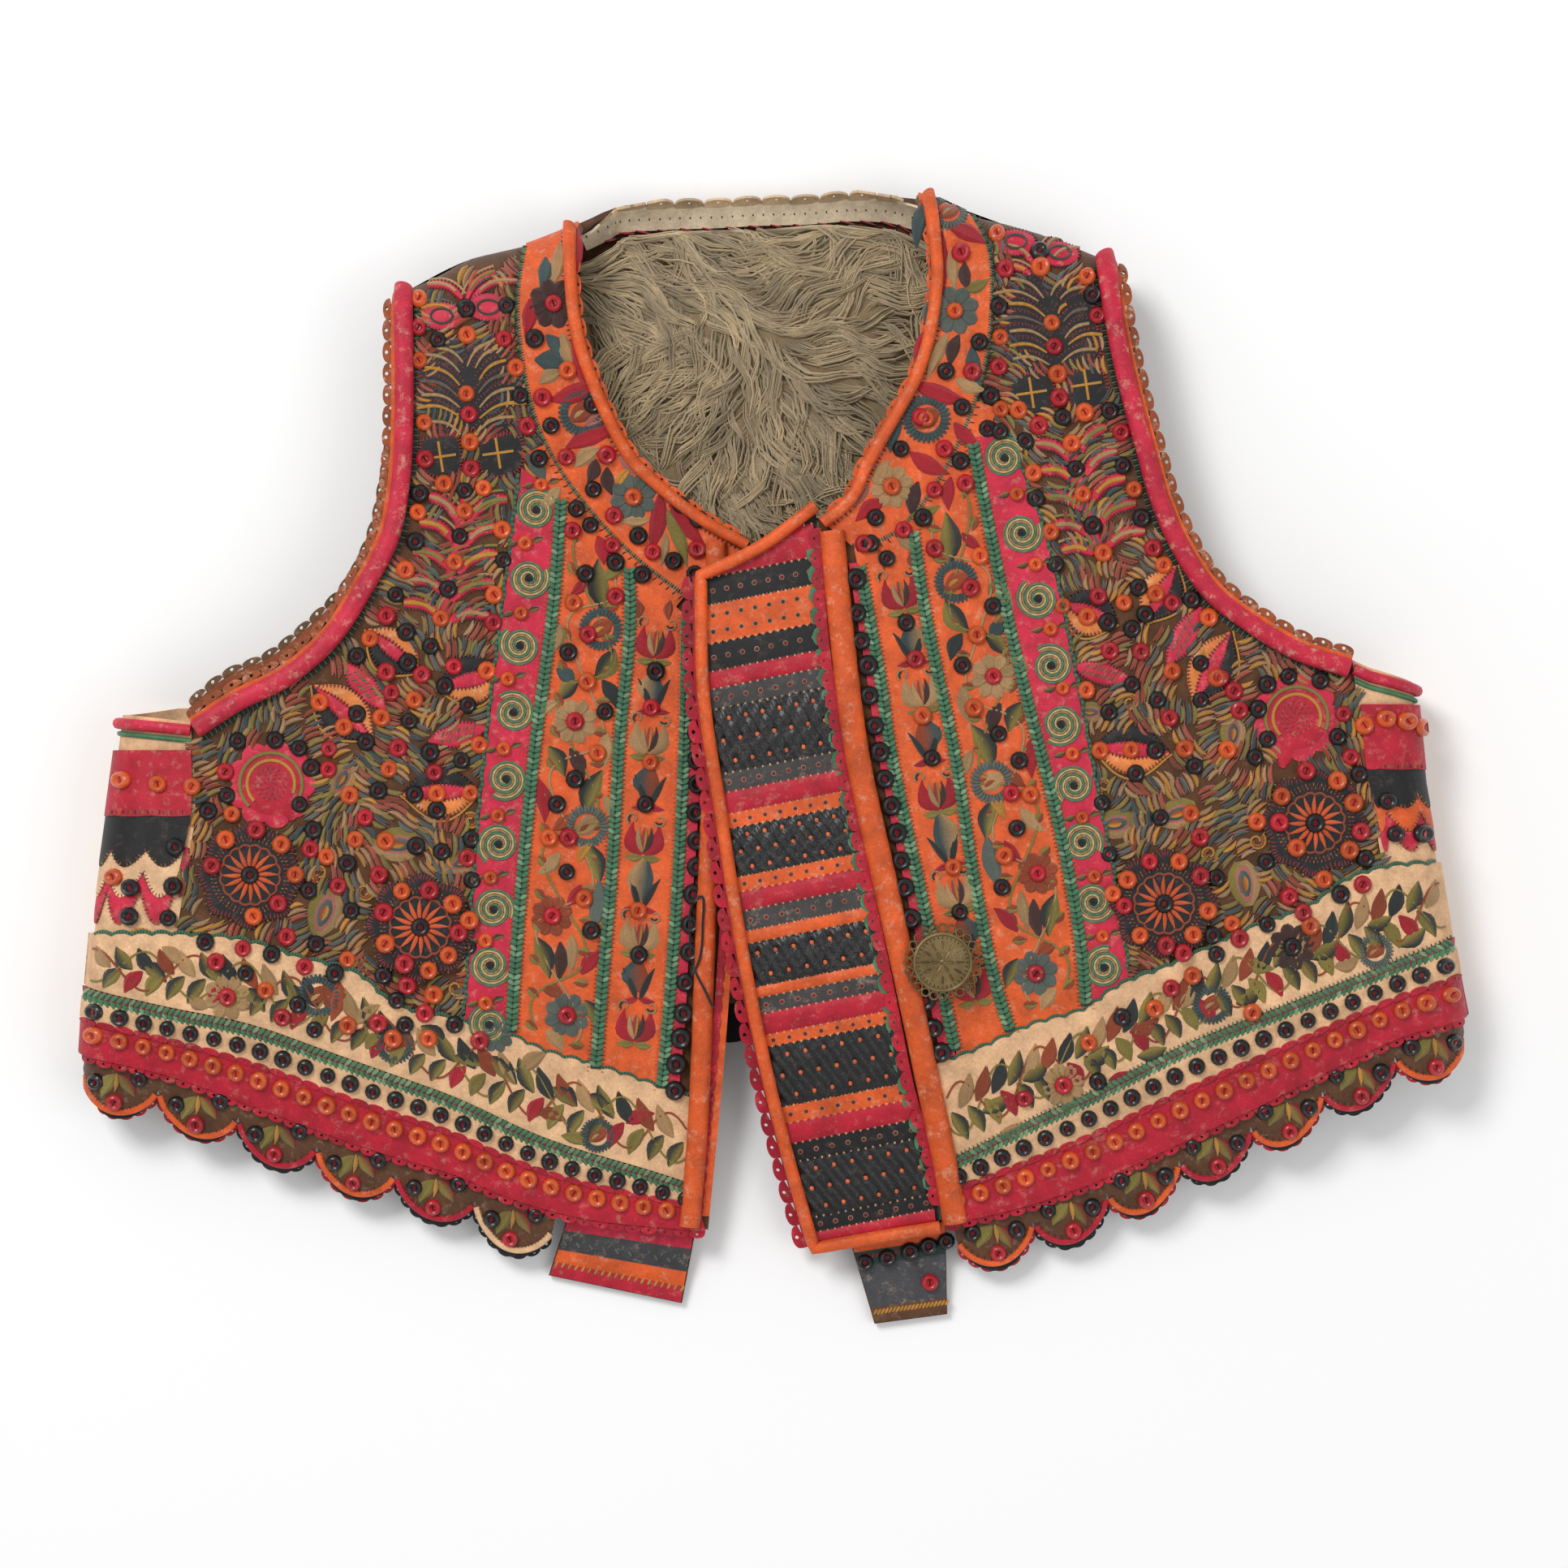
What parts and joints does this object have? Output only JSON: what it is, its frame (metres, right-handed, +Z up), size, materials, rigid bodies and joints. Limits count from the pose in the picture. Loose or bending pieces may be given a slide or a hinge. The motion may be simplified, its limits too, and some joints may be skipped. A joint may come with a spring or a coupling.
{
  "type": "embroidered folk vest",
  "caption": "Short sleeveless sheepskin vest of european folk dress, laid flat, leather side out with applique, embroidery, ring buttons and a scalloped hem, fleece inside",
  "frame": {"origin": "centre of the vest's outline, on the surface it lies on", "axes": "+Y towards the neck, +X across to the viewer's right, which is the wearer's left, +Z up from the surface"},
  "size_m": [0.5692, 0.4691, 0.0492],
  "materials": {
    "brown_suede": "brown suede sheepskin, leather side out, worn matt",
    "orange_leather": "orange dyed leather, rubbed pale on edges",
    "crimson_leather": "crimson dyed leather, crackled and rubbed",
    "cream_leather": "undyed cream leather, soiled",
    "black_leather": "black leather with a soft shine",
    "wool_thread": "wool embroidery thread in several colours",
    "fleece": "grey-beige wavy sheep's wool",
    "aged_brass": "aged brass, dull and brown"
  },
  "bodies": {
    "root": {"armhole_roll_left": "crimson_leather", "armhole_roll_right": "crimson_leather", "armhole_trim_left": "orange_leather", "armhole_trim_right": "orange_leather", "back_armhole_edge_left": "orange_leather", "back_armhole_edge_right": "orange_leather", "back_fleece": "fleece", "back_hem_tongues": "black_leather", "back_neck_facing": "cream_leather", "back_panel": "brown_suede", "brooch": "aged_brass", "button_strip_left": "crimson_leather", "button_strip_right": "crimson_leather", "front_facing_right": "crimson_leather", "front_left_fleece": "fleece", "front_left_panel": "brown_suede", "front_right_fleece": "fleece", "front_right_panel": "brown_suede", "front_roll_left": "orange_leather", "front_roll_right": "orange_leather", "gusset_lappets_left": "crimson_leather", "gusset_lappets_right": "crimson_leather", "hem_band_left": "crimson_leather", "hem_band_right": "crimson_leather", "hem_border_left": "cream_leather", "hem_border_right": "cream_leather", "hem_flap_left": "black_leather", "hem_flap_right": "black_leather", "hem_tongues_left": "brown_suede", "hem_tongues_right": "brown_suede", "hem_underlay_left": "black_leather", "hem_underlay_right": "black_leather", "inner_braid_left": "wool_thread", "inner_braid_right": "wool_thread", "middle_braid_left": "wool_thread", "middle_braid_right": "wool_thread", "neck_piping_left": "orange_leather", "neck_piping_right": "orange_leather", "outer_braid_left": "wool_thread", "outer_braid_right": "wool_thread", "plastron": "black_leather", "plastron_piping": "orange_leather", "plastron_scallops": "crimson_leather", "plastron_side_trim": "crimson_leather", "rosette_left_1": "black_leather", "rosette_left_2": "black_leather", "rosette_right_1": "black_leather", "rosette_right_2": "black_leather", "side_gusset_left": "cream_leather", "side_gusset_right": "cream_leather", "spiral_strip_left": "crimson_leather", "spiral_strip_right": "crimson_leather", "tulip_strip_left": "orange_leather", "tulip_strip_right": "orange_leather", "vine_strip_left": "orange_leather", "vine_strip_right": "orange_leather", "yoke_left": "orange_leather", "yoke_right": "orange_leather"}
  },
  "joints": []
}
